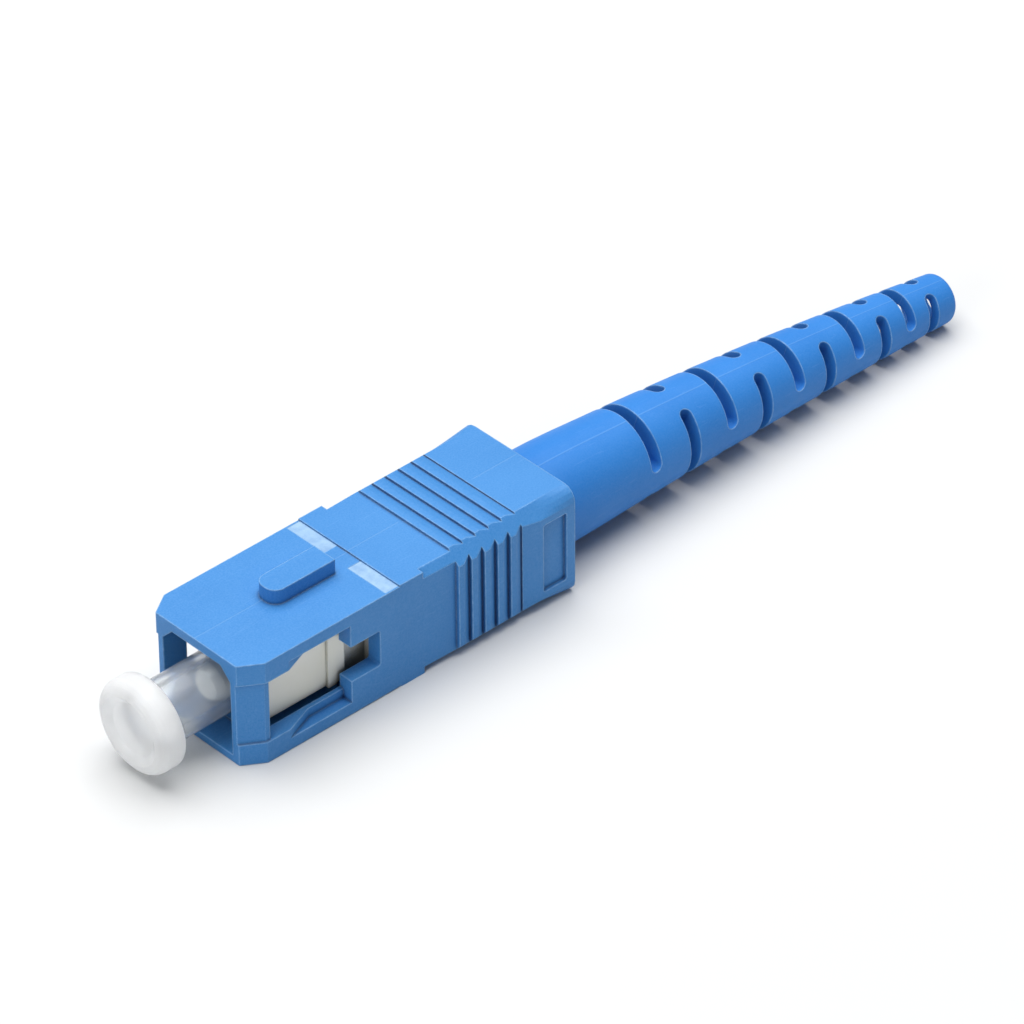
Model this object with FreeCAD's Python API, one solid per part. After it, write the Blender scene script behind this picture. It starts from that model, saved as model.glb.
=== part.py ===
import FreeCAD, Part
import math
import os
from FreeCAD import Vector

# SC push-pull fibre connector (plug) with strain relief boot and ferrule dust cap.
# Millimetres.  Origin: centre of the coupling sleeve's front opening, on the fibre axis.
# +X is the mating direction, +Z is the key side.  "Station" s is the distance behind
# the front plane, so x = -s.

# ---- coupling sleeve, outside -------------------------------------------------------
FRONT_HALF_W = 4.50          # front section of the plug body, 9.0 mm wide
FRONT_HALF_H = 3.70          # 7.4 mm high
SLEEVE_L = 25.90
CORNER_CUT_Y = 0.93          # bevel of the two front vertical corners
CORNER_CUT_S = 1.45
SHOULDER_S = 12.05           # insertion line: the body is a little taller behind it
SHOULDER_STEP = 0.10
EDGE_BEVEL_S = 13.90         # the four long edges are bevelled from here back
EDGE_BEVEL = 0.50
GRIP_S = 16.45               # first grip rib
RIB_PITCH = 1.055
RIB_COUNT = 6                # number of rib faces; the last one starts the rear flare
RIB_RISE_Y = 0.29            # height of a rib face on the flanks
RIB_RISE_Z = 0.16            # and on the top and bottom
GRIP_HALF_W = 4.56           # foot of the ribs
RIB_FLAT = 0.40              # level part of a rib before it falls back, share of the pitch
REAR_FLARE_L = 1.36
REAR_FLARE_RISE_Y = 0.13     # last rib face, where the flare starts
REAR_HALF_W = 4.87
REAR_HALF_H = 3.90
REAR_BEVEL = 0.92            # the bevel ends rounded to this radius at the rear
ROUND_STEPS = 4
SLEEVE_PLAY_Z = 0.10         # the loose sleeve stands this much higher than the frame in it

# ---- key and insertion marks --------------------------------------------------------
KEY_FRONT_S = 5.35
KEY_REAR_S = 10.15
KEY_HALF_W = 0.93
KEY_H = 1.05
KEY_ROUND = 0.80
MARK_L = 1.02                # paint patches just in front of the shoulder
MARK_INNER_Y = 1.05
MARK_OUTER_Y = 4.36
MARK_DEPTH = 0.08
MARK_FILL = 0.07             # thickness of the paint in its recess

# ---- coupling sleeve, openings ------------------------------------------------------
MOUTH_CLEAR_Y = 0.10         # mouth around the frame's nose, which passes through it
MOUTH_CLEAR_TOP = 0.20
MOUTH_CLEAR_BOTTOM = 0.35
MOUTH_CLEAR_CORNER = 0.05
POST_S = 1.80                # front posts end, side windows start
POST_INSET = 0.15            # posts lie a little below the lips above and under them
WINDOW_HALF_H = 2.20         # between the rails
RAMP_START_S = 3.25          # rails step inward here (ramps for the adapter latches)
RAMP_END_S = 5.30
RAIL_OUTER_Y = 3.73
LATCH_HALF_H = 2.85          # pocket outside the rails
WINDOW_REAR_S = 8.10
NOTCH_REAR_S = 10.42
NOTCH_HALF_H = 1.28
WINDOW_CORNER = 0.18
CAVITY_CLEAR_Y = 0.20        # around the frame's tail
CAVITY_CLEAR_Z = 0.25
CAVITY_FRONT_S = 1.95
POCKET_S = 23.32             # shallow pocket in each flank of the rear block
POCKET_L = 1.88
POCKET_HALF_H = 2.50
POCKET_DEPTH = 0.25
POCKET_CORNER = 0.15

# ---- plug frame ---------------------------------------------------------------------
FRAME_S = 2.65
FRAME_REAR_S = 15.60
FRAME_HALF_W = 2.90
FRAME_HALF_H = 2.85
FRAME_EDGE = 0.30
FRAME_NOSE_EDGE = 0.80       # wide bevels on the nose, as on the mouth
FRAME_BORE_R = 2.40          # receives the alignment sleeve holder of an adapter
FRAME_WEB_S = 6.20
FRAME_WEB_L = 0.70
WEB_HOLE_R = 1.55
SPRING_BORE_R = 2.30
RIDGE_S = 7.50               # latch ridge the adapter hooks close behind
RIDGE_REAR_S = 8.78
RIDGE_RISE = 0.20
RIDGE_HALF_H = 2.15
RIDGE_REAR_HALF_H = 1.45
HOOK_REAR_S = 10.80          # relief behind the ridge
HOOK_HALF_W = 2.62
TAIL_HALF_W = 3.22           # guide part of the frame inside the sleeve
BUMP_S = 13.30               # side bumps that limit the sleeve travel
BUMP_L = 0.70
BUMP_RISE = 0.50
BUMP_HALF_H = 1.40
SLEEVE_TRAVEL = 2.00
STOP_GAP = 0.10              # left at each end of the sleeve travel
BUMP_CLEAR = 0.20
ANTI_TURN_HALF_W = 0.35      # keys in the frame bore that stop the flange turning
ANTI_TURN_TIP_R = 1.98

# ---- ferrule group ------------------------------------------------------------------
FERRULE_R = 1.2495
FERRULE_TIP_S = 0.50
FERRULE_L = 10.50
FERRULE_CHAMFER_L = 0.50
FERRULE_CHAMFER_R = 0.32
FIBRE_R = 0.0628
FIBRE_CONE_L = 1.20
FIBRE_CONE_R = 0.45
SEAT_GAP = 0.05              # flange against the frame web
FLANGE_R = 2.15
FLANGE_L = 3.10
FLANGE_SLOT_HALF_W = 0.45
FLANGE_SLOT_R = 1.86
FLANGE_TAIL_R = 1.20
FLANGE_TAIL_REAR_S = 15.60
GUIDE_R = 0.45
GUIDE_BORE_R = 0.24
GUIDE_REAR_S = 23.50
FLOAT_TRAVEL = 1.50
SPRING_WIRE_R = 0.19
SPRING_MEAN_R = 1.66
SPRING_TURNS = 5.0

# ---- stop ring, crimp sleeve --------------------------------------------------------
STOP_SPIGOT_S = 14.00
STOP_COLLAR_R = 2.95
STOP_COLLAR_L = 1.00
STOP_BORE_R = 1.32
CRIMP_POST_R = 1.85
CRIMP_POST_REAR_S = 22.00
POST_GROOVE_COUNT = 6
POST_GROOVE_DEPTH = 0.12
POST_GROOVE_L = 0.35
CRIMP_FIT = 0.05
CRIMP_WALL = 0.35
CRIMP_REAR_S = 22.80

# ---- boot ---------------------------------------------------------------------------
BOOT_NOSE_R = 2.88
BOOT_NOSE_REAR_S = 19.30
BOOT_R = 3.35
BOOT_NOSE_GAP = 0.10
MOUTH_REAR_R = 3.65          # rear mouth of the sleeve around the boot
SLEEVE_BORE_R = 3.55
MOUTH_REAR_L = 1.90
BOOT_BEND_S = 24.00          # the boot is coaxial to here, then sags
BOOT_SLOPE = 0.028
BOOT_CURVE_S = 31.00
BOOT_CURVE = 0.00118
BOOT_TAPER_S = 29.00
BOOT_END_S = 62.15
BOOT_END_R = 1.68
BOOT_TIP_ROUND = 0.25
BOOT_BULGE = 0.06            # how far the taper bows outward at half length
CABLE_BORE_R = 1.08
CABLE_MOUTH_L = 2.10         # straight last stretch of the cable bore
CABLE_MOUTH_STEP = 0.03      # the bent bore before it is this much tighter
BOOT_TURN_DEG = 14.0         # the moulding is turned on the fibre axis
SLOT_FIRST_S = 34.465
SLOT_PITCH = 3.557
SLOT_SHRINK = 0.080          # each gap between slots is shorter than the last
SLOT_COUNT = 10
SLOT_W = 0.90
SLOT_HALF_DEG = 71.5

# ---- dust cap -----------------------------------------------------------------------
CAP_TUBE_R = 2.05
CAP_BORE_CLEAR = 0.07
CAP_TUBE_REAR_S = 5.60
CAP_HEAD_R = 3.13
CAP_HEAD_REAR_S = -3.50
CAP_HEAD_L = 1.85
CAP_FRONT_ROUND = 0.80
CAP_REAR_ROUND = 0.25
CAP_BORE_FRONT_S = -3.00
CAP_DISH_R = 2.15
CAP_DISH_DEPTH = 0.35
CAP_TILT_DEG = 1.2           # the soft cap hangs a little on the ferrule


MOUTH_HALF_W = FRAME_HALF_W + MOUTH_CLEAR_Y
MOUTH_TOP = FRAME_HALF_H + MOUTH_CLEAR_TOP
MOUTH_BOTTOM = FRAME_HALF_H + MOUTH_CLEAR_BOTTOM
MOUTH_CORNER = FRAME_NOSE_EDGE + MOUTH_CLEAR_CORNER
CAVITY_HALF_W = TAIL_HALF_W + CAVITY_CLEAR_Y
CAVITY_HALF_H = FRAME_HALF_H + CAVITY_CLEAR_Z
GRIP_FOOT_H = FRONT_HALF_H + SHOULDER_STEP


def box(s_front, s_rear, y_low, y_high, z_low, z_high):
    """Square block between two stations."""
    corner = Vector(-s_rear, y_low, z_low)
    return Part.makeBox(s_rear - s_front, y_high - y_low, z_high - z_low, corner)


def block(s_front, s_rear, half_w, half_h):
    return box(s_front, s_rear, -half_w, half_w, -half_h, half_h)


def rod(s_front, s_rear, radius):
    """Round bar on the fibre axis."""
    return Part.makeCylinder(radius, s_rear - s_front, Vector(-s_rear, 0, 0), Vector(1, 0, 0))


def prism(points, lift):
    """Solid from a closed outline moved along a vector."""
    outline = Part.makePolygon(points + [points[0]])
    return Part.Face(outline).extrude(lift)


def turned(profile):
    """Solid of revolution about the fibre axis; profile is (station, radius) pairs."""
    points = [Vector(-s, 0, r) for s, r in profile]
    face = Part.Face(Part.makePolygon(points + [points[0]]))
    return face.revolve(Vector(0, 0, 0), Vector(1, 0, 0), 360)


def bevelled_outline(s, half_w, half_h, bevel):
    """Octagonal section of the coupling sleeve at one station."""
    corners = []
    for sy, sz, y_first in ((1, 1, True), (-1, 1, False), (-1, -1, True), (1, -1, False)):
        on_flank = Vector(-s, sy * half_w, sz * (half_h - bevel))
        on_top = Vector(-s, sy * (half_w - bevel), sz * half_h)
        corners += [on_flank, on_top] if y_first else [on_top, on_flank]
    return Part.makePolygon(corners + [corners[0]])


def eased_outline(s, half_w, half_h, bevel, roundness):
    """The same section with each bevel in short steps; roundness 1 makes it a round corner."""
    points = []
    for sy, sz, y_first in ((1, 1, True), (-1, 1, False), (-1, -1, True), (1, -1, False)):
        corner = []
        for step in range(ROUND_STEPS + 1):
            share = step / ROUND_STEPS
            turn = math.radians(90 * share)
            cut_y = (1 - roundness) * share + roundness * (1 - math.cos(turn))
            cut_z = (1 - roundness) * (1 - share) + roundness * (1 - math.sin(turn))
            corner.append(Vector(-s, sy * (half_w - bevel * cut_y), sz * (half_h - bevel * cut_z)))
        points += corner if y_first else corner[::-1]
    return Part.makePolygon(points + [points[0]])


def rear_run(front_section, rear_section):
    """Rear block, from a bevelled front to a rear end with round corners."""
    wires = [eased_outline(*front_section, 0.0), eased_outline(*rear_section, 1.0)]
    return Part.makeLoft(wires, True, True)


def common_bevel(half_w, half_h):
    """Bevel that puts a section's sloped edges on the same planes as the grip foot's."""
    return EDGE_BEVEL + half_w - GRIP_HALF_W + half_h - GRIP_FOOT_H


def bevelled_run(sections):
    """Straight-sided solid through a list of (station, half width, half height, bevel)."""
    wires = [bevelled_outline(*section) for section in sections]
    return Part.makeLoft(wires, True, True)


def fused(parts):
    body = parts[0].multiFuse(parts[1:])
    return body.removeSplitter()


def grip_sections():
    """Stations of the saw-tooth ribs, each rising at its front and falling to the rear."""
    runs = []
    crest_w = GRIP_HALF_W + RIB_RISE_Y
    crest_h = GRIP_FOOT_H + RIB_RISE_Z
    crest = (crest_w, crest_h, common_bevel(crest_w, crest_h))
    for rib in range(RIB_COUNT - 1):
        start = GRIP_S + rib * RIB_PITCH
        end = start + RIB_PITCH
        level = start + RIB_FLAT * RIB_PITCH
        runs.append([(start, *crest), (level, *crest)])
        runs.append([(level, *crest), (end, GRIP_HALF_W, GRIP_FOOT_H, EDGE_BEVEL)])
    return runs


def sleeve_outside():
    front = block(0, SHOULDER_S, FRONT_HALF_W, FRONT_HALF_H)
    for side in (1, -1):
        cut = prism([Vector(0, side * (FRONT_HALF_W - CORNER_CUT_Y), -FRONT_HALF_H),
                     Vector(0, side * FRONT_HALF_W, -FRONT_HALF_H),
                     Vector(-CORNER_CUT_S, side * FRONT_HALF_W, -FRONT_HALF_H)],
                    Vector(0, 0, 2 * FRONT_HALF_H))
        front = front.cut(cut)
    parts = [front, block(SHOULDER_S, EDGE_BEVEL_S, FRONT_HALF_W, GRIP_FOOT_H)]
    parts.append(bevelled_run([(EDGE_BEVEL_S, FRONT_HALF_W, GRIP_FOOT_H, EDGE_BEVEL),
                               (GRIP_S, GRIP_HALF_W, GRIP_FOOT_H, EDGE_BEVEL)]))
    parts += [bevelled_run(run) for run in grip_sections()]
    flare = GRIP_S + (RIB_COUNT - 1) * RIB_PITCH
    flare_w = GRIP_HALF_W + REAR_FLARE_RISE_Y
    rear_bevel = common_bevel(REAR_HALF_W, REAR_HALF_H)
    rear_front = (flare + REAR_FLARE_L, REAR_HALF_W, REAR_HALF_H, rear_bevel)
    parts.append(bevelled_run([(flare, flare_w, REAR_HALF_H, common_bevel(flare_w, REAR_HALF_H)),
                               rear_front]))
    parts.append(rear_run(rear_front, (SLEEVE_L, REAR_HALF_W, REAR_HALF_H, REAR_BEVEL)))
    return fused(parts)


def key():
    """Orientation key on the top face, rounded at the front."""
    bar = box(KEY_FRONT_S, KEY_REAR_S, -KEY_HALF_W, KEY_HALF_W,
              FRONT_HALF_H - SHOULDER_STEP, FRONT_HALF_H + KEY_H)
    upright = [edge for edge in bar.Edges
               if abs(edge.CenterOfMass.x + KEY_FRONT_S) < 1e-6
               and abs(abs(edge.CenterOfMass.y) - KEY_HALF_W) < 1e-6]
    return bar.makeFillet(KEY_ROUND, upright)


def mark_patch(side, thickness):
    """Patch in front of the shoulder, from the bottom of its recess up."""
    inner = side * MARK_INNER_Y
    outer = side * MARK_OUTER_Y
    floor = FRONT_HALF_H - MARK_DEPTH
    return box(SHOULDER_S - MARK_L, SHOULDER_S, min(inner, outer), max(inner, outer),
               floor, floor + thickness)


def rounded_block(s_front, s_rear, y_low, y_high, half_h, radius):
    """Block whose four edges along Y are rounded (a window cutter)."""
    body = box(s_front, s_rear, y_low, y_high, -half_h, half_h)
    along = [edge for edge in body.Edges
             if abs(edge.Vertexes[0].Y - edge.Vertexes[1].Y) > (y_high - y_low) / 2]
    return body.makeFillet(radius, along)


def side_window(side):
    """Everything cut through one flank for the adapter latch."""
    outside = FRONT_HALF_W + POST_INSET
    inside = MOUTH_HALF_W
    low = min(side * inside, side * outside)
    high = max(side * inside, side * outside)
    opening = box(POST_S, WINDOW_REAR_S, low, high, -WINDOW_HALF_H, WINDOW_HALF_H)
    notch = rounded_block(WINDOW_REAR_S - 2 * WINDOW_CORNER, NOTCH_REAR_S, low, high,
                          NOTCH_HALF_H, WINDOW_CORNER)
    plan = [(RAMP_START_S, outside), (RAMP_START_S, FRONT_HALF_W),
            (RAMP_END_S, RAIL_OUTER_Y), (WINDOW_REAR_S, RAIL_OUTER_Y),
            (WINDOW_REAR_S, outside)]
    latch = prism([Vector(-s, side * y, -LATCH_HALF_H) for s, y in plan],
                  Vector(0, 0, 2 * LATCH_HALF_H))
    return opening.multiFuse([notch, latch])


def post_inset(side):
    """Thin layer taken off the outside of a front post."""
    half_w = FRONT_HALF_W + POST_INSET
    beyond = POST_INSET
    slope_end = CORNER_CUT_S + beyond * CORNER_CUT_S / CORNER_CUT_Y
    plan = [(-beyond, FRONT_HALF_W - CORNER_CUT_Y - POST_INSET
             - beyond * CORNER_CUT_Y / CORNER_CUT_S),
            (CORNER_CUT_S, FRONT_HALF_W - POST_INSET),
            (POST_S, FRONT_HALF_W - POST_INSET),
            (POST_S, half_w), (slope_end, half_w), (-beyond, half_w)]
    return prism([Vector(-s, side * y, -WINDOW_HALF_H) for s, y in plan],
                 Vector(0, 0, 2 * WINDOW_HALF_H))


def sleeve_inside():
    """Mouth, frame cavity, stop slots and boot bore as one cutter."""
    beyond = SHOULDER_STEP
    mouth = prism([Vector(beyond, -MOUTH_HALF_W, -MOUTH_BOTTOM),
                   Vector(beyond, MOUTH_HALF_W, -MOUTH_BOTTOM),
                   Vector(beyond, MOUTH_HALF_W, MOUTH_TOP - MOUTH_CORNER),
                   Vector(beyond, MOUTH_HALF_W - MOUTH_CORNER, MOUTH_TOP),
                   Vector(beyond, MOUTH_CORNER - MOUTH_HALF_W, MOUTH_TOP),
                   Vector(beyond, -MOUTH_HALF_W, MOUTH_TOP - MOUTH_CORNER)],
                  Vector(-CAVITY_FRONT_S - 2 * beyond, 0, 0))
    cavity = block(CAVITY_FRONT_S, FRAME_REAR_S + STOP_GAP, CAVITY_HALF_W, CAVITY_HALF_H)
    slot_front = BUMP_S - SLEEVE_TRAVEL - STOP_GAP
    slot_rear = BUMP_S + BUMP_L + STOP_GAP
    slots = block(slot_front, slot_rear, TAIL_HALF_W + BUMP_RISE + BUMP_CLEAR,
                  BUMP_HALF_H + BUMP_CLEAR)
    bore = rod(FRAME_REAR_S, SLEEVE_L + beyond, SLEEVE_BORE_R)
    rear_mouth = rod(SLEEVE_L - MOUTH_REAR_L, SLEEVE_L + beyond, MOUTH_REAR_R)
    return mouth.multiFuse([cavity, slots, bore, rear_mouth])


def coupling_sleeve():
    body = fused([sleeve_outside(), key()])
    cutters = [sleeve_inside()]
    for side in (1, -1):
        cutters.append(side_window(side))
        cutters.append(post_inset(side))
        cutters.append(mark_patch(side, MARK_DEPTH + SHOULDER_STEP / 2))
        deep = side * (REAR_HALF_W - POCKET_DEPTH)
        out = side * (REAR_HALF_W + POCKET_DEPTH)
        cutters.append(rounded_block(POCKET_S, POCKET_S + POCKET_L, min(deep, out),
                                     max(deep, out), POCKET_HALF_H, POCKET_CORNER))
    return body.cut(cutters).removeSplitter()


def plug_frame():
    """Inner housing: front block, latch ridge, hook relief and guided tail."""
    nose = bevelled_run([(FRAME_S, FRAME_HALF_W, FRAME_HALF_H, FRAME_NOSE_EDGE),
                         (RIDGE_REAR_S, FRAME_HALF_W, FRAME_HALF_H, FRAME_NOSE_EDGE)])
    waist = bevelled_run([(RIDGE_REAR_S, HOOK_HALF_W, FRAME_HALF_H, FRAME_EDGE),
                          (HOOK_REAR_S, HOOK_HALF_W, FRAME_HALF_H, FRAME_EDGE)])
    tail = bevelled_run([(HOOK_REAR_S, TAIL_HALF_W, FRAME_HALF_H, FRAME_EDGE),
                         (FRAME_REAR_S, TAIL_HALF_W, FRAME_HALF_H, FRAME_EDGE)])
    parts = [nose, waist, tail]
    for side in (1, -1):
        plan = [(RIDGE_S, RIDGE_HALF_H), (RIDGE_REAR_S - (RIDGE_REAR_S - RIDGE_S) / 2,
                                          RIDGE_HALF_H),
                (RIDGE_REAR_S, RIDGE_REAR_HALF_H), (RIDGE_REAR_S, -RIDGE_REAR_HALF_H),
                (RIDGE_REAR_S - (RIDGE_REAR_S - RIDGE_S) / 2, -RIDGE_HALF_H),
                (RIDGE_S, -RIDGE_HALF_H)]
        base = side * HOOK_HALF_W
        rise = side * (FRAME_HALF_W + RIDGE_RISE - HOOK_HALF_W)
        parts.append(prism([Vector(-s, base, z) for s, z in plan], Vector(0, rise, 0)))
    bump_w = TAIL_HALF_W + BUMP_RISE
    bump_end = BUMP_S + BUMP_L
    bump = prism([Vector(-BUMP_S, -bump_w, -BUMP_HALF_H),
                  Vector(-BUMP_S, bump_w, -BUMP_HALF_H),
                  Vector(-BUMP_S - BUMP_L / 2, bump_w, -BUMP_HALF_H),
                  Vector(-bump_end, TAIL_HALF_W, -BUMP_HALF_H),
                  Vector(-bump_end, -TAIL_HALF_W, -BUMP_HALF_H),
                  Vector(-BUMP_S - BUMP_L / 2, -bump_w, -BUMP_HALF_H)],
                 Vector(0, 0, 2 * BUMP_HALF_H))
    body = fused(parts + [bump])
    web_rear = FRAME_WEB_S + FRAME_WEB_L
    bores = [rod(FRAME_S - FRAME_EDGE, FRAME_WEB_S, FRAME_BORE_R),
             rod(FRAME_S, FRAME_REAR_S, WEB_HOLE_R),
             rod(web_rear, FRAME_REAR_S + FRAME_EDGE, SPRING_BORE_R)]
    body = body.cut(bores)
    keys = []
    flange_rear = web_rear + SEAT_GAP + FLANGE_L + FLOAT_TRAVEL
    for side in (1, -1):
        low = min(side * ANTI_TURN_TIP_R, side * (SPRING_BORE_R + FRAME_EDGE))
        high = max(side * ANTI_TURN_TIP_R, side * (SPRING_BORE_R + FRAME_EDGE))
        keys.append(box(web_rear, flange_rear, -ANTI_TURN_HALF_W, ANTI_TURN_HALF_W, low, high))
    return fused([body] + keys)


def ferrule():
    """Zirconia ferrule with its fibre hole and rear lead-in cone."""
    tip = FERRULE_TIP_S
    rear = tip + FERRULE_L
    return turned([(tip, FIBRE_R),
                   (tip, FERRULE_R - FERRULE_CHAMFER_R),
                   (tip + FERRULE_CHAMFER_L, FERRULE_R),
                   (rear, FERRULE_R),
                   (rear, FIBRE_CONE_R),
                   (rear - FIBRE_CONE_L, FIBRE_R)])


def ferrule_flange():
    """Metal flange pressed on the ferrule, with a tail tube through the spring."""
    front = FRAME_WEB_S + FRAME_WEB_L + SEAT_GAP
    rear = front + FLANGE_L
    ferrule_rear = FERRULE_TIP_S + FERRULE_L
    body = turned([(front, FERRULE_R),
                   (front, FLANGE_R - FRAME_EDGE),
                   (front + FRAME_EDGE, FLANGE_R),
                   (rear, FLANGE_R),
                   (rear, FERRULE_R + SEAT_GAP * 3),
                   (ferrule_rear + FRAME_EDGE, FERRULE_R + SEAT_GAP * 3),
                   (ferrule_rear + FRAME_EDGE, FLANGE_TAIL_R),
                   (FLANGE_TAIL_REAR_S, FLANGE_TAIL_R),
                   (FLANGE_TAIL_REAR_S, GUIDE_R),
                   (ferrule_rear, GUIDE_R),
                   (ferrule_rear, FERRULE_R)])
    slots = []
    for side in (1, -1):
        for across in (True, False):
            low = min(side * FLANGE_SLOT_R, side * (FLANGE_R + SEAT_GAP))
            high = max(side * FLANGE_SLOT_R, side * (FLANGE_R + SEAT_GAP))
            half = FLANGE_SLOT_HALF_W
            first = (-half, half, low, high) if across else (low, high, -half, half)
            slots.append(box(front - SEAT_GAP, rear + SEAT_GAP, *first))
    return body.cut(slots)


def guide_tube():
    """Fibre guide tubing pushed into the flange tail."""
    front = FERRULE_TIP_S + FERRULE_L
    return rod(front, GUIDE_REAR_S, GUIDE_R).cut(rod(front, GUIDE_REAR_S, GUIDE_BORE_R))


def spring():
    """Compression spring between the flange and the stop ring, with dead end coils."""
    front = FRAME_WEB_S + FRAME_WEB_L + SEAT_GAP + FLANGE_L + SPRING_WIRE_R
    rear = STOP_SPIGOT_S - SPRING_WIRE_R
    length = rear - front
    helix = Part.makeHelix(length / SPRING_TURNS, length, SPRING_MEAN_R)
    start = Vector(SPRING_MEAN_R, 0, 0)
    section = Part.Wire(Part.makeCircle(SPRING_WIRE_R, start, Vector(0, 1, 0)))
    coil = Part.Wire(helix).makePipeShell([section], True, False)
    rings = [Part.makeTorus(SPRING_MEAN_R, SPRING_WIRE_R, Vector(0, 0, end))
             for end in (0, length)]
    body = fused([coil] + rings)
    body.rotate(Vector(0, 0, 0), Vector(0, 1, 0), -90)
    body.translate(Vector(-front, 0, 0))
    return body


def stop_ring():
    """Turned rear body: spigot in the frame, collar and grooved crimp post."""
    collar_rear = FRAME_REAR_S + STOP_COLLAR_L
    body = turned([(STOP_SPIGOT_S, STOP_BORE_R),
                   (STOP_SPIGOT_S, SPRING_BORE_R),
                   (FRAME_REAR_S, SPRING_BORE_R),
                   (FRAME_REAR_S, STOP_COLLAR_R),
                   (collar_rear, STOP_COLLAR_R),
                   (collar_rear, CRIMP_POST_R),
                   (CRIMP_POST_REAR_S, CRIMP_POST_R),
                   (CRIMP_POST_REAR_S, STOP_BORE_R)])
    run = CRIMP_POST_REAR_S - collar_rear
    step = run / POST_GROOVE_COUNT
    grooves = []
    for index in range(POST_GROOVE_COUNT):
        middle = collar_rear + (index + 0.5) * step
        low = middle - POST_GROOVE_L / 2
        high = middle + POST_GROOVE_L / 2
        ring = rod(low, high, CRIMP_POST_R + CRIMP_FIT)
        grooves.append(ring.cut(rod(low, high, CRIMP_POST_R - POST_GROOVE_DEPTH)))
    return body.cut(grooves)


def crimp_sleeve():
    """Crimp tube around the post; it holds the cable's strength yarn."""
    front = FRAME_REAR_S + STOP_COLLAR_L + CRIMP_FIT
    inner = CRIMP_POST_R + CRIMP_FIT
    return rod(front, CRIMP_REAR_S, inner + CRIMP_WALL).cut(rod(front, CRIMP_REAR_S, inner))


def boot_axis(s):
    """Point and rearward direction of the sagging boot's centre line."""
    height = 0.0
    slope = 0.0
    if s > BOOT_BEND_S:
        height -= BOOT_SLOPE * (s - BOOT_BEND_S)
        slope -= BOOT_SLOPE
    if s > BOOT_CURVE_S:
        height -= BOOT_CURVE * (s - BOOT_CURVE_S) ** 2
        slope -= 2 * BOOT_CURVE * (s - BOOT_CURVE_S)
    direction = Vector(-1, 0, slope)
    return Vector(-s, 0, height), direction.normalize()


def boot_radius(s):
    """Outside radius: level inside the sleeve, then a slightly bowed taper."""
    if s <= BOOT_TAPER_S:
        return BOOT_R
    share = (s - BOOT_TAPER_S) / (BOOT_END_S - BOOT_TAPER_S)
    straight = BOOT_R + (BOOT_END_R - BOOT_R) * share
    return straight + BOOT_BULGE * math.sin(math.pi * share)


def boot_run(stations, radii):
    """Round solid through circles square to the boot's centre line."""
    wires = []
    for s, radius in zip(stations, radii):
        centre, direction = boot_axis(s)
        wires.append(Part.Wire(Part.makeCircle(radius, centre, direction)))
    return Part.makeLoft(wires, True, False)


def boot_slot(s, centre_deg):
    """Cutter for one relief slot: a sector of a ring with rounded ends."""
    reach = boot_radius(s) + BOOT_TIP_ROUND
    end_deg = math.degrees(SLOT_W / 2 / boot_radius(s))
    half_deg = SLOT_HALF_DEG - end_deg
    inner = CABLE_BORE_R / 2
    profile = [Vector(inner, -SLOT_W / 2, 0), Vector(reach, -SLOT_W / 2, 0),
               Vector(reach, SLOT_W / 2, 0), Vector(inner, SLOT_W / 2, 0)]
    face = Part.Face(Part.makePolygon(profile + [profile[0]]))
    face.rotate(Vector(0, 0, 0), Vector(0, 1, 0), half_deg)
    sector = face.revolve(Vector(0, 0, 0), Vector(0, 1, 0), -2 * half_deg)
    ends = []
    for turn in (half_deg, -half_deg):
        direction = Vector(math.cos(math.radians(turn)), 0, -math.sin(math.radians(turn)))
        ends.append(Part.makeCylinder(SLOT_W / 2, reach - inner, direction * inner, direction))
    cutter = sector.multiFuse(ends)
    centre, direction = boot_axis(s)
    cutter.rotate(Vector(0, 0, 0), Vector(0, 0, 1), 90)
    cutter.rotate(Vector(0, 0, 0), Vector(1, 0, 0), 90 - centre_deg)
    pitch = math.degrees(math.atan2(direction.z, -direction.x))
    cutter.rotate(Vector(0, 0, 0), Vector(0, 1, 0), pitch)
    cutter.translate(centre)
    return cutter


def boot():
    front = FRAME_REAR_S + STOP_COLLAR_L + BOOT_NOSE_GAP
    count = 14
    bend = [BOOT_BEND_S + (BOOT_END_S - BOOT_TIP_ROUND - BOOT_BEND_S) * i / count
            for i in range(count + 1)]
    outside = boot_run(bend, [boot_radius(s) for s in bend])
    tip = boot_run([BOOT_END_S - BOOT_TIP_ROUND, BOOT_END_S - BOOT_TIP_ROUND / 3, BOOT_END_S],
                   [boot_radius(bend[-1]), BOOT_END_R - BOOT_TIP_ROUND / 4,
                    BOOT_END_R - BOOT_TIP_ROUND])
    parts = [rod(front, BOOT_NOSE_REAR_S, BOOT_NOSE_R),
             rod(BOOT_NOSE_REAR_S, BOOT_BEND_S, BOOT_R), outside, tip]
    body = fused(parts)
    body = body.cut(rod(front - CRIMP_FIT, CRIMP_REAR_S + CRIMP_FIT,
                        CRIMP_POST_R + 2 * CRIMP_FIT + CRIMP_WALL))
    mouth_s = BOOT_END_S - CABLE_MOUTH_L
    bore_stations = [CRIMP_REAR_S - CRIMP_FIT] + [s for s in bend if s < mouth_s - SLOT_W]
    bore_stations += [mouth_s, mouth_s + CABLE_MOUTH_STEP]
    bore_r = CABLE_BORE_R - CABLE_MOUTH_STEP
    body = body.cut(boot_run(bore_stations, [bore_r] * len(bore_stations)))
    centre, direction = boot_axis(BOOT_END_S - CABLE_MOUTH_L / 2)
    start = centre - direction * (CABLE_MOUTH_L / 2)
    body = body.cut(Part.makeCylinder(CABLE_BORE_R, 2 * CABLE_MOUTH_L, start, direction))
    for index in range(SLOT_COUNT):
        s = SLOT_FIRST_S + SLOT_PITCH * index - SLOT_SHRINK * index ** 2
        side_deg = 90 * (index % 2)
        for half_turn in (0, 180):
            body = body.cut(boot_slot(s, BOOT_TURN_DEG + side_deg + half_turn))
    return body


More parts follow.
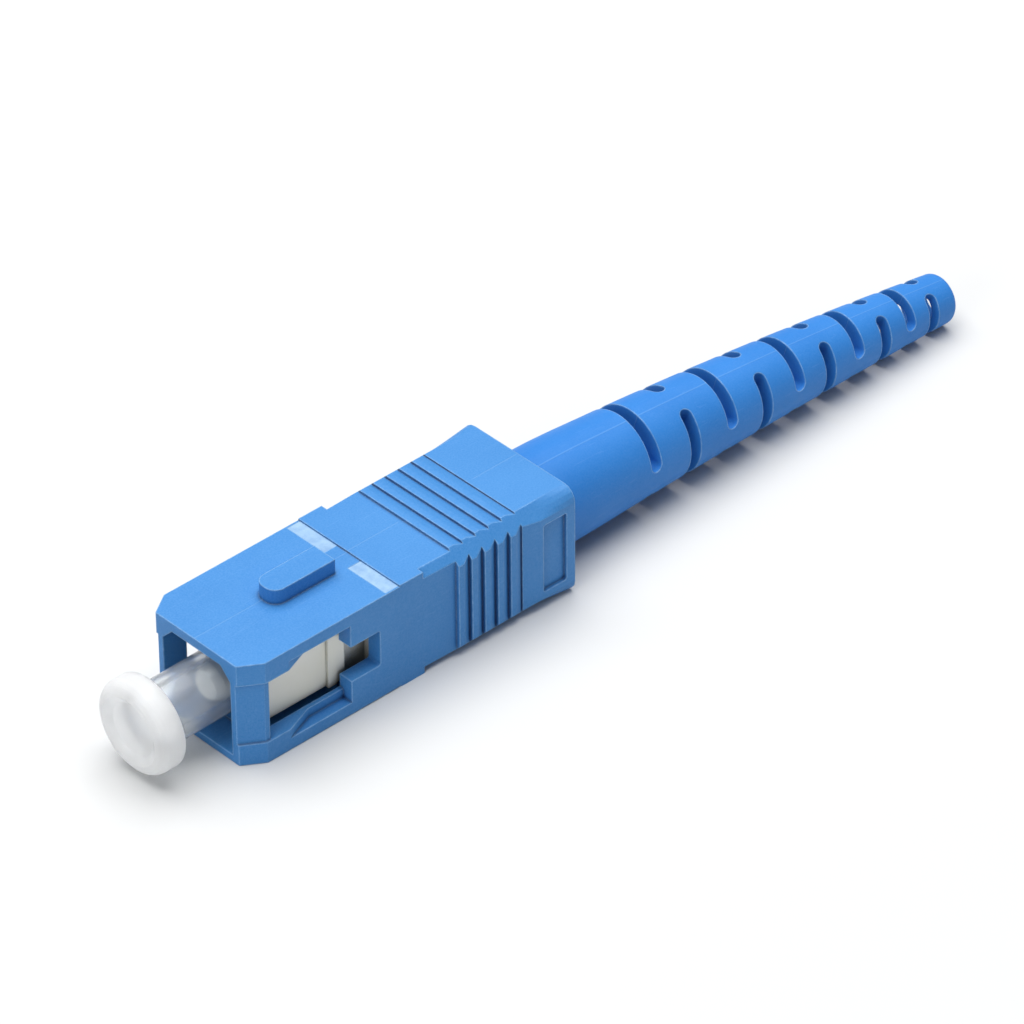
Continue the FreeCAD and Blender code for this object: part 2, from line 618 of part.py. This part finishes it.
def arc_points(centre_s, centre_r, radius, start_deg, end_deg):
    """Short polyline for a rounded corner of a turned profile."""
    steps = 4
    points = []
    for i in range(steps + 1):
        turn = math.radians(start_deg + (end_deg - start_deg) * i / steps)
        points.append((centre_s + radius * math.cos(turn), centre_r + radius * math.sin(turn)))
    return points


def dust_cap():
    """One soft moulding: closed tube over the ferrule and a dished round head."""
    head_front = CAP_HEAD_REAR_S - CAP_HEAD_L
    bore_r = FERRULE_R + CAP_BORE_CLEAR
    front_round = arc_points(head_front + CAP_FRONT_ROUND, CAP_HEAD_R - CAP_FRONT_ROUND,
                             CAP_FRONT_ROUND, 180, 90)
    rear_round = arc_points(CAP_HEAD_REAR_S - CAP_REAR_ROUND, CAP_HEAD_R - CAP_REAR_ROUND,
                            CAP_REAR_ROUND, 90, 0)
    profile = [(head_front + CAP_DISH_DEPTH, 0),
               (head_front + CAP_DISH_DEPTH, CAP_DISH_R - CAP_DISH_DEPTH),
               (head_front + CAP_DISH_DEPTH / 3, CAP_DISH_R)]
    profile += front_round + rear_round
    profile += [(CAP_HEAD_REAR_S, CAP_TUBE_R), (CAP_TUBE_REAR_S, CAP_TUBE_R),
                (CAP_TUBE_REAR_S, bore_r), (CAP_BORE_FRONT_S, bore_r), (CAP_BORE_FRONT_S, 0)]
    body = turned(profile)
    held_middle = (FERRULE_TIP_S + CAP_TUBE_REAR_S) / 2
    body.rotate(Vector(-held_middle, 0, 0), Vector(0, 1, 0), CAP_TILT_DEG)
    return body


def lifted(body):
    """A piece of the loose sleeve, moved up by its play on the frame."""
    body.translate(Vector(0, 0, SLEEVE_PLAY_Z))
    return body


def main():
    os.makedirs("parts", exist_ok=True)
    pieces = {
        "coupling_sleeve": lifted(coupling_sleeve()),
        "insertion_mark_left": lifted(mark_patch(1, MARK_FILL)),
        "insertion_mark_right": lifted(mark_patch(-1, MARK_FILL)),
        "plug_frame": plug_frame(),
        "ferrule": ferrule(),
        "ferrule_flange": ferrule_flange(),
        "guide_tube": guide_tube(),
        "spring": spring(),
        "stop_ring": stop_ring(),
        "crimp_sleeve": crimp_sleeve(),
        "boot": boot(),
        "dust_cap": dust_cap(),
    }
    for node, shape in pieces.items():
        shape.exportStep("parts/" + node + ".step")


main()
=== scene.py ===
"""Looks, light and camera for the fibre connector. Metres, in the part's own frame."""

import math

import bpy
from mathutils import Matrix, Vector


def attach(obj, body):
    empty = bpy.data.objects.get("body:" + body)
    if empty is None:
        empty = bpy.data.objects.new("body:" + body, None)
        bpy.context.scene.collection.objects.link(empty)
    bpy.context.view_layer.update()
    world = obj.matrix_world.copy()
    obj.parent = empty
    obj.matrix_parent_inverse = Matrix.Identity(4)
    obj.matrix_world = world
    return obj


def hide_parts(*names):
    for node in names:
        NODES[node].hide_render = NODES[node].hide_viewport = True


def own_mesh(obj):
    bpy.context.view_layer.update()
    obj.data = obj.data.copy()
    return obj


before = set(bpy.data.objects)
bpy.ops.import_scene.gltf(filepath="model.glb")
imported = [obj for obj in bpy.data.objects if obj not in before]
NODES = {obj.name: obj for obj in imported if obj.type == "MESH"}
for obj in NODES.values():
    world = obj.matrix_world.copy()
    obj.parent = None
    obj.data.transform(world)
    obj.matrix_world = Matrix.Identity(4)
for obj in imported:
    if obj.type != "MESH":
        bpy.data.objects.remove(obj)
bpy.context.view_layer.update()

MM = 0.001

# ------------------------------------------------------------------ camera

CAM_AZ = 137.325                 # degrees
CAM_EL = 37.12
CAM_ROLL = -0.511
CAM_DIST = 0.450
CAM_TARGET = Vector((-0.025236, 0.0, -0.000007))
CAM_LENS = 261.3                 # millimetres, as is the sensor
CAM_SENSOR = 36.0
CAM_CLIP_NEAR = 0.01
CAM_CLIP_FAR = 20.0


def view_vector(az, el):
    """From the target to the camera; azimuth 0 looks along +Y with +X to the right."""
    a = math.radians(az)
    e = math.radians(el)
    return Vector((math.sin(a) * math.cos(e), -math.cos(a) * math.cos(e), math.sin(e)))


def make_camera():
    back = view_vector(CAM_AZ, CAM_EL)
    level = Vector((0, 0, 1)).cross(back).normalized()
    upright = back.cross(level).normalized()
    c = math.cos(math.radians(CAM_ROLL))
    s = math.sin(math.radians(CAM_ROLL))
    right = level * c + upright * s
    up = upright * c - level * s
    data = bpy.data.cameras.new("photo_camera")
    data.lens = CAM_LENS
    data.sensor_width = CAM_SENSOR
    data.clip_start = CAM_CLIP_NEAR
    data.clip_end = CAM_CLIP_FAR
    cam = bpy.data.objects.new("photo_camera", data)
    bpy.context.scene.collection.objects.link(cam)
    turn = Matrix((right, up, back)).transposed().to_4x4()
    cam.matrix_world = Matrix.Translation(CAM_TARGET + back * CAM_DIST) @ turn
    bpy.context.scene.camera = cam


# ------------------------------------------------------------------ node helpers

MIX_SOCKETS = (0, 6, 7)          # factor and the two colours of a colour mix
BEVEL_SAMPLES = 6
OCCLUSION_SAMPLES = 8
NOISE_MIDDLE = (0.3, 0.7)
EDGE_DOT = (0.975, 0.84)         # cosine between true and rounded normal, off and on an edge


class Mat:
    """A small builder for procedural materials."""

    def __init__(self, name):
        self.mat = bpy.data.materials.new(name)
        self.mat.use_nodes = True
        self.tree = self.mat.node_tree
        self.bsdf = self.tree.nodes["Principled BSDF"]
        self.object = self.node("ShaderNodeTexCoord").outputs["Object"]

    def node(self, kind, **values):
        """New node; each value goes to the input of that name, or to the node's own property."""
        n = self.tree.nodes.new(kind)
        for key, value in values.items():
            if key in n.inputs:
                n.inputs[key].default_value = value
            else:
                setattr(n, key, value)
        return n

    def link(self, source, target):
        self.tree.links.new(source, target)

    def put(self, value, socket):
        """Sets a number or a colour on the socket, or links an output to it."""
        if isinstance(value, tuple):
            socket.default_value = (*value, 1.0)
        elif isinstance(value, (int, float)):
            socket.default_value = value
        else:
            self.link(value, socket)

    def surface(self, **values):
        """Links or sets the shader's own inputs; an underscore stands for a space."""
        for key, value in values.items():
            self.put(value, self.bsdf.inputs[key.replace("_", " ")])

    def math(self, operation, a, b=None, clamp=False):
        n = self.node("ShaderNodeMath", operation=operation, use_clamp=clamp)
        self.put(a, n.inputs[0])
        if b is not None:
            self.put(b, n.inputs[1])
        return n.outputs[0]

    def times(self, a, b):
        return self.math("MULTIPLY", a, b)

    def noise(self, scale, detail=3.0, rough=0.5):
        n = self.node("ShaderNodeTexNoise", Scale=scale, Detail=detail, Roughness=rough)
        self.link(self.object, n.inputs["Vector"])
        return n.outputs["Fac"]

    def streaks(self, scale, detail, rough, stretch, turn=(0.0, 0.0, 0.0)):
        """Noise drawn out along one direction."""
        place = self.node("ShaderNodeMapping", Scale=stretch, Rotation=turn)
        self.link(self.object, place.inputs["Vector"])
        n = self.node("ShaderNodeTexNoise", Scale=scale, Detail=detail, Roughness=rough)
        self.link(place.outputs[0], n.inputs["Vector"])
        return n.outputs["Fac"]

    def ramp(self, fac, *stops):
        """Grey ramp through two (position, value) stops."""
        n = self.node("ShaderNodeValToRGB")
        for element, (position, value) in zip(n.color_ramp.elements, stops):
            element.position = position
            element.color = (value, value, value, 1.0)
        self.link(fac, n.inputs["Fac"])
        return n.outputs["Color"]

    def mix(self, fac, a, b):
        n = self.node("ShaderNodeMix", data_type="RGBA")
        for index, value in zip(MIX_SOCKETS, (fac, a, b)):
            self.put(value, n.inputs[index])
        return n.outputs[2]

    def range(self, value, low, high, to_low=0.0, to_high=1.0):
        n = self.node("ShaderNodeMapRange")
        n.inputs["From Min"].default_value = low
        n.inputs["From Max"].default_value = high
        n.inputs["To Min"].default_value = to_low
        n.inputs["To Max"].default_value = to_high
        self.link(value, n.inputs["Value"])
        return n.outputs["Result"]

    def spread(self, noise, to_low, to_high):
        """The middle of a noise, from 0.3 to 0.7, spread over a range."""
        return self.range(noise, *NOISE_MIDDLE, to_low, to_high)

    def blend(self, noise, a, b):
        """Two colours, blended by the middle of a noise."""
        low, high = NOISE_MIDDLE
        return self.mix(self.ramp(noise, (low, 0.0), (high, 1.0)), a, b)

    def xyz(self):
        n = self.node("ShaderNodeSeparateXYZ")
        self.link(self.object, n.inputs[0])
        return n.outputs

    def bump(self, height, strength, distance, normal=None):
        n = self.node("ShaderNodeBump", Strength=strength, Distance=distance)
        self.link(height, n.inputs["Height"])
        if normal is not None:
            self.link(normal, n.inputs["Normal"])
        return n.outputs["Normal"]

    def edges(self, radius):
        """Mask that is 1 on the edges, and the normal that rounds them."""
        bent = self.node("ShaderNodeBevel", samples=BEVEL_SAMPLES, Radius=radius)
        true = self.node("ShaderNodeNewGeometry")
        dot = self.node("ShaderNodeVectorMath", operation="DOT_PRODUCT")
        self.link(bent.outputs["Normal"], dot.inputs[0])
        self.link(true.outputs["Normal"], dot.inputs[1])
        return self.range(dot.outputs["Value"], *EDGE_DOT), bent.outputs["Normal"]

    def hollows(self, reach, own, deep, open_):
        """Mask for painted shade, 1 where the surface is shut in: at deep or less of open sky, 0 at open_
        or more.
        """
        n = self.node("ShaderNodeAmbientOcclusion", Distance=reach)
        n.samples = OCCLUSION_SAMPLES
        n.only_local = own
        return self.ramp(n.outputs["AO"], (deep, 1.0), (open_, 0.0))


# ------------------------------------------------------------------ materials
# Noise scales are in cells per metre, bump depths and reaches in metres.

GRAIN_BUMP = 0.008 * MM

SLEEVE_BLUE = ((0.039, 0.208, 0.528), (0.047, 0.225, 0.555))
BOOT_BLUE = ((0.022, 0.186, 0.565), (0.028, 0.204, 0.600))
# pale colour of grit, scratches and the seam, and of the painted highlight on edges
BLUE_WORN_AND_HIGHLIGHT = (0.310, 0.560, 0.890)
# painted shade colour for crevices and the foot of each step
BLUE_PAINTED_SHADE = (0.000, 0.026, 0.130)
BLUE_FLOW_SCALE = 170.0
BLUE_GRAIN_SCALE = 9000.0
BLUE_MOTTLE_SCALE = 1300.0
BLUE_MOTTLE_BUMP = 0.02 * MM
BLUE_EDGE = 0.17 * MM
# strength of the pale edges, partly wear and partly painted highlight
EDGE_WEAR_AND_HIGHLIGHT_SCALE = 2400.0
EDGE_WEAR_AND_HIGHLIGHT_LEAST = 0.50
EDGE_WEAR_AND_HIGHLIGHT_MOST = 0.95
SCRATCH_STRETCH = (260.0, 9000.0, 9000.0)
SCRATCH_TURN = (0.05, 0.1, 0.22)
SCRATCH_SHARE = 0.06
# reach and strength of the painted shade in crevices
PAINTED_SHADE_REACH = 0.32 * MM
PAINTED_SHADE_SHARE = 0.95
SEAM_SHARE = 0.14
SEAM_BUMP = 0.03 * MM

SEAM_Y = 0.15 * MM               # the parting line lies this far to one side of the middle
SEAM_CORE = 0.02 * MM            # half width at full strength, and where it ends
SEAM_FADE = 0.06 * MM
SEAM_FROM_Z = (3.72 * MM, 3.76 * MM)      # above this the top face begins
SEAM_TO_Z = (4.15 * MM, 4.20 * MM)        # and above this the key
SEAM_AHEAD_X = (-16.3 * MM, -16.0 * MM)   # the grip ribs lie between these two
SEAM_BEHIND_X = (-22.3 * MM, -22.0 * MM)

BOOT_DROOP_S = 24.0              # millimetres behind the origin where the boot starts to droop
BOOT_DROOP = 0.028 * MM          # drop for each millimetre from there
BOOT_CURVE_S = 31.0              # and where it starts to curve
BOOT_CURVE = 0.00118 * MM
BOOT_SEAM_TURN = math.radians(14.0)
BOOT_SEAM_CORE = 0.008           # radians
BOOT_SEAM_FADE = 0.022

IVORY = ((0.95, 0.93, 0.80), (0.98, 0.96, 0.86))
IVORY_WORN = (0.98, 0.98, 0.93)
# painted shade colour for the frame where the sleeve shuts it in
IVORY_PAINTED_SHADE = (0.09, 0.085, 0.075)
IVORY_EDGE = 0.05 * MM
# reach and strength of that painted shade
IVORY_SHADE_REACH = 1.6 * MM
IVORY_SHADE_SHARE = 0.90

INK = ((0.19, 0.345, 0.58), (0.29, 0.46, 0.65))
ZIRCONIA = ((0.80, 0.81, 0.79), (0.86, 0.86, 0.83))
GUIDE_WHITE = ((0.74, 0.75, 0.75), (0.84, 0.84, 0.83))

NICKEL = (0.72, 0.70, 0.66)
SPRING_STEEL = (0.60, 0.60, 0.60)
CRIMP_STEEL = (0.76, 0.76, 0.77)
METAL_DARK = 0.82                # share of the metal's colour in its darker patches
METAL_WORN = 1.15                # and on its edges
METAL_EDGE = 0.04 * MM
DRAWN = (0.1, 1.0, 1.0)          # turned and drawn pieces are streaked along the axis
EVEN = (1.0, 1.0, 1.0)

TUBE_TONE = ((0.90, 0.94, 0.97), (0.96, 0.98, 0.99))
HEAD_TONE = ((0.96, 0.98, 0.99), (0.99, 0.99, 0.99))
HEAD_FROM_X = 3.0 * MM           # clear up to here, milky from the next station on
HEAD_FULL_X = 4.0 * MM
TUBE_ROUGH, HEAD_ROUGH = 0.16, 0.48
TUBE_CLEAR, HEAD_CLEAR = 0.92, 0.44
TUBE_IOR, HEAD_IOR = 1.38, 1.26
HEAD_MILK = 0.9
MILK_DEPTH = 1.8 * MM

PAPER = ((0.655, 0.66, 0.66), (0.67, 0.672, 0.67))


def sleeve_seam(m):
    """Mould parting line along the middle of the top, clear of the key, the marks and the ribs."""
    x, y, z = m.xyz()
    off = m.math("ABSOLUTE", m.math("ADD", y, SEAM_Y))
    line = m.range(off, SEAM_CORE, SEAM_FADE, 1.0, 0.0)
    top = m.range(z, *SEAM_FROM_Z)
    low = m.range(z, *SEAM_TO_Z, 1.0, 0.0)
    ahead = m.range(x, *SEAM_AHEAD_X)
    behind = m.range(x, *SEAM_BEHIND_X, 1.0, 0.0)
    plain = m.math("ADD", ahead, behind, clamp=True)
    return m.times(m.times(m.times(line, top), low), plain)


def boot_seam(m):
    """Mould parting line along the boot, on the side its slots are turned to."""
    x, y, z = m.xyz()
    station = m.times(x, -1.0 / MM)
    droop = m.math("MAXIMUM", m.math("SUBTRACT", station, BOOT_DROOP_S), 0.0)
    curve = m.math("MAXIMUM", m.math("SUBTRACT", station, BOOT_CURVE_S), 0.0)
    drop = m.math("ADD", m.times(droop, BOOT_DROOP), m.times(m.times(curve, curve), BOOT_CURVE))
    turn = m.math("ARCTAN2", y, m.math("ADD", z, drop))
    off = m.math("ABSOLUTE", m.math("SUBTRACT", turn, BOOT_SEAM_TURN))
    return m.range(off, BOOT_SEAM_CORE, BOOT_SEAM_FADE, 1.0, 0.0)


def blue_plastic(name, tones, seam, fine, rough, grit):
    """Moulded blue plastic: fine grain, faint flow tone, pale edges that are partly wear and partly
    painted highlight, scratches, painted shade in the crevices.
    """
    m = Mat(name)
    flow = m.noise(BLUE_FLOW_SCALE, 3.0, 0.55)
    grain = m.noise(BLUE_GRAIN_SCALE, 4.0, 0.6)
    mottled = m.noise(BLUE_MOTTLE_SCALE, 3.0, 0.6)
    colour = m.mix(m.ramp(flow, (0.35, 0.0), (0.65, 1.0)), *tones)
    colour = m.mix(m.range(grain, 0.35, 0.65, 0.0, grit), colour, BLUE_WORN_AND_HIGHLIGHT)
    edge, normal = m.edges(BLUE_EDGE)
    # pale edges: painted highlight along every edge, broken up by wear noise
    wear_and_highlight = m.range(m.noise(EDGE_WEAR_AND_HIGHLIGHT_SCALE), 0.35, 0.65, EDGE_WEAR_AND_HIGHLIGHT_LEAST, EDGE_WEAR_AND_HIGHLIGHT_MOST)
    colour = m.mix(m.times(edge, wear_and_highlight), colour, BLUE_WORN_AND_HIGHLIGHT)
    scratch = m.streaks(1.0, 2.0, 0.5, SCRATCH_STRETCH, SCRATCH_TURN)
    scratch = m.ramp(scratch, (0.66, 0.0), (0.70, 1.0))
    colour = m.mix(m.times(scratch, SCRATCH_SHARE), colour, BLUE_WORN_AND_HIGHLIGHT)
    # painted shade: crevices and the foot of each step darkened through an occlusion mask
    painted_shade = m.hollows(PAINTED_SHADE_REACH, own=True, deep=0.35, open_=0.92)
    colour = m.mix(m.times(painted_shade, PAINTED_SHADE_SHARE), colour, BLUE_PAINTED_SHADE)
    line = seam(m)
    colour = m.mix(m.times(line, SEAM_SHARE), colour, BLUE_WORN_AND_HIGHLIGHT)
    normal = m.bump(line, 0.5, SEAM_BUMP, normal)
    normal = m.bump(grain, fine, GRAIN_BUMP, normal)
    normal = m.bump(mottled, 0.25, BLUE_MOTTLE_BUMP, normal)
    dull = m.math("ADD", m.spread(mottled, rough - 0.05, rough + 0.06), m.times(grain, 0.05))
    m.surface(Base_Color=colour, Roughness=dull, Normal=normal, IOR=1.49, Specular_IOR_Level=0.25)
    return m.mat


def ivory_plastic():
    """Ivory plastic of the plug frame, with painted shade where the sleeve shuts it in."""
    m = Mat("ivory_plastic")
    grain = m.noise(8000.0, 3.0, 0.6)
    edge, normal = m.edges(IVORY_EDGE)
    colour = m.blend(m.noise(320.0), *IVORY)
    colour = m.mix(m.times(edge, 0.5), colour, IVORY_WORN)
    # painted shade: the frame darkened inside the sleeve through a wide occlusion mask
    shut_in_shade = m.hollows(IVORY_SHADE_REACH, own=False, deep=0.30, open_=0.66)
    colour = m.mix(m.times(shut_in_shade, IVORY_SHADE_SHARE), colour, IVORY_PAINTED_SHADE)
    normal = m.bump(grain, 0.25, GRAIN_BUMP, normal)
    m.surface(Base_Color=colour, Roughness=m.spread(grain, 0.38, 0.50), Normal=normal, IOR=1.5)
    return m.mat


def white_ink():
    """Thin white paint of the insertion marks; the blue shows through it."""
    m = Mat("white_ink")
    blot = m.noise(1500.0, 4.0, 0.6)
    grain = m.noise(7000.0, 3.0, 0.6)
    colour = m.mix(m.ramp(blot, (0.30, 0.0), (0.62, 1.0)), *INK)
    normal = m.bump(blot, 0.4, 0.03 * MM, m.bump(grain, 0.3, 0.01 * MM))
    m.surface(Base_Color=colour, Roughness=m.spread(grain, 0.45, 0.65), Normal=normal)
    return m.mat


def ceramic():
    """Ground zirconia of the ferrule."""
    m = Mat("zirconia")
    fine = m.noise(12000.0, 2.0)
    m.surface(Base_Color=m.blend(m.noise(900.0), *ZIRCONIA), Roughness=m.spread(fine, 0.16, 0.26),
              Normal=m.bump(fine, 0.08, 0.004 * MM), IOR=2.1)
    return m.mat


def metal(name, colour, rough, stretch, scale):
    """Bare or plated metal, streaked by its making and brighter on its edges."""
    m = Mat(name)
    streak = m.streaks(scale, 3.0, 0.6, stretch)
    dark = tuple(c * METAL_DARK for c in colour)
    worn = tuple(min(1.0, c * METAL_WORN) for c in colour)
    edge, normal = m.edges(METAL_EDGE)
    tone = m.mix(m.times(edge, 0.4), m.blend(m.noise(600.0), dark, colour), worn)
    m.surface(Base_Color=tone, Roughness=m.spread(streak, rough - 0.07, rough + 0.08),
              Normal=m.bump(streak, 0.2, 0.006 * MM, normal), Metallic=1.0)
    return m.mat


def guide_plastic():
    """Pale plastic of the fibre's guide tube."""
    m = Mat("guide_plastic")
    tone = m.noise(1200.0)
    m.surface(Base_Color=m.mix(tone, *GUIDE_WHITE), Roughness=m.spread(tone, 0.35, 0.5),
              Normal=m.bump(m.noise(6000.0), 0.15, 0.01 * MM))
    return m.mat


def clear_plastic():
    """Soft translucent plastic of the dust cap: a clear tube, frosted and milky at the head."""
    m = Mat("clear_cap")
    x = m.xyz()[0]
    head = m.range(x, HEAD_FROM_X, HEAD_FULL_X)
    cloud = m.noise(900.0, 3.0, 0.55)
    fine = m.noise(5200.0, 3.0, 0.6)
    colour = m.mix(head, m.mix(cloud, *TUBE_TONE), m.mix(cloud, *HEAD_TONE))
    rough = m.math("ADD", m.range(head, 0.0, 1.0, TUBE_ROUGH, HEAD_ROUGH), m.times(fine, 0.10))
    clear = m.math("SUBTRACT", m.range(head, 0.0, 1.0, TUBE_CLEAR, HEAD_CLEAR), m.times(cloud, 0.12))
    m.surface(Base_Color=colour, Roughness=rough, Transmission_Weight=clear,
              Normal=m.bump(cloud, 0.12, 0.03 * MM, m.bump(fine, 0.10, GRAIN_BUMP)),
              IOR=m.range(head, 0.0, 1.0, TUBE_IOR, HEAD_IOR),
              Subsurface_Weight=m.range(head, 0.0, 1.0, 0.0, HEAD_MILK), Subsurface_Scale=MILK_DEPTH)
    m.bsdf.inputs["Subsurface Radius"].default_value = EVEN
    return m.mat


def floor_material():
    """Pale matt paper."""
    m = Mat("floor_paper")
    tone = m.noise(14.0, 2.0)
    m.surface(Base_Color=m.mix(tone, *PAPER), Roughness=m.spread(tone, 0.75, 0.85),
              Normal=m.bump(m.noise(1500.0), 0.05, 0.02 * MM), Specular_IOR_Level=0.2)
    return m.mat


def assign(material, *names):
    """Gives every face of the named pieces one material."""
    for name in names:
        ob = NODES[name]
        if not ob.material_slots:
            ob.data.materials.append(material)
        for slot in ob.material_slots:
            slot.material = material


def dress():
    assign(blue_plastic("sleeve_plastic", SLEEVE_BLUE, sleeve_seam, fine=0.55, rough=0.42, grit=0.10),
           "coupling_sleeve")
    assign(blue_plastic("boot_plastic", BOOT_BLUE, boot_seam, fine=0.30, rough=0.50, grit=0.05), "boot")
    assign(ivory_plastic(), "plug_frame")
    assign(white_ink(), "insertion_mark_left", "insertion_mark_right")
    assign(ceramic(), "ferrule")
    assign(metal("nickel_plate", NICKEL, 0.28, DRAWN, 4000.0), "ferrule_flange", "stop_ring")
    assign(guide_plastic(), "guide_tube")
    assign(metal("spring_wire", SPRING_STEEL, 0.25, EVEN, 6000.0), "spring")
    assign(metal("crimp_tube", CRIMP_STEEL, 0.34, DRAWN, 4000.0), "crimp_sleeve")
    assign(clear_plastic(), "dust_cap")


# ------------------------------------------------------------------ moving spring


def make_spring():
    """The ferrule's spring as a piece of its own, a copy fixed to the ferrule's group."""
    source = NODES["spring"]
    wire = bpy.data.objects.new("return_spring", source.data.copy())
    wire.matrix_world = source.matrix_world.copy()
    bpy.context.scene.collection.objects.link(wire)
    bpy.context.view_layer.update()
    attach(wire, "ferrule_group")
    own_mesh(wire)
    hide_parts("spring")


# ------------------------------------------------------------------ floor and light

FLOOR_HALF = 4.0
FLOOR_TILT = 0.22                # degrees; the plug rests on its sleeve and the boot's drooping tip
FLOOR_Z = -3.62 * MM             # just under the sleeve at its front

WORLD_COLOUR = (0.93, 0.96, 1.0, 1.0)
WORLD_STRENGTH = 0.225
# name, place, point lit, side of the square, watts
LIGHTS = (("top_soft", (-0.06, -0.10, 0.58), (-0.02, 0.0, 0.0), 0.72, 6.6),
          ("front_fill", (0.45, 0.10, 0.20), (0.0, 0.0, 0.0), 0.25, 0.50))


def make_floor():
    h = FLOOR_HALF
    mesh = bpy.data.meshes.new("floor")
    mesh.from_pydata([(-h, -h, 0), (h, -h, 0), (h, h, 0), (-h, h, 0)], [], [(0, 1, 2, 3)])
    mesh.materials.append(floor_material())
    ob = bpy.data.objects.new("floor", mesh)
    bpy.context.scene.collection.objects.link(ob)
    ob.rotation_euler = (0.0, math.radians(-FLOOR_TILT), 0.0)
    ob.location = (0.0, 0.0, FLOOR_Z)


def area_light(name, place, target, side, power):
    data = bpy.data.lights.new(name, "AREA")
    data.energy = power
    data.shape = "SQUARE"
    data.size = side
    ob = bpy.data.objects.new(name, data)
    bpy.context.scene.collection.objects.link(ob)
    ob.location = place
    ob.rotation_euler = (Vector(target) - Vector(place)).to_track_quat("-Z", "Y").to_euler()


def make_light():
    world = bpy.data.worlds.new("studio")
    bpy.context.scene.world = world
    world.use_nodes = True
    background = world.node_tree.nodes["Background"]
    background.inputs["Color"].default_value = WORLD_COLOUR
    background.inputs["Strength"].default_value = WORLD_STRENGTH
    for light in LIGHTS:
        area_light(*light)
    bpy.context.scene.view_settings.view_transform = "Standard"


dress()
make_spring()
make_camera()
make_floor()
make_light()
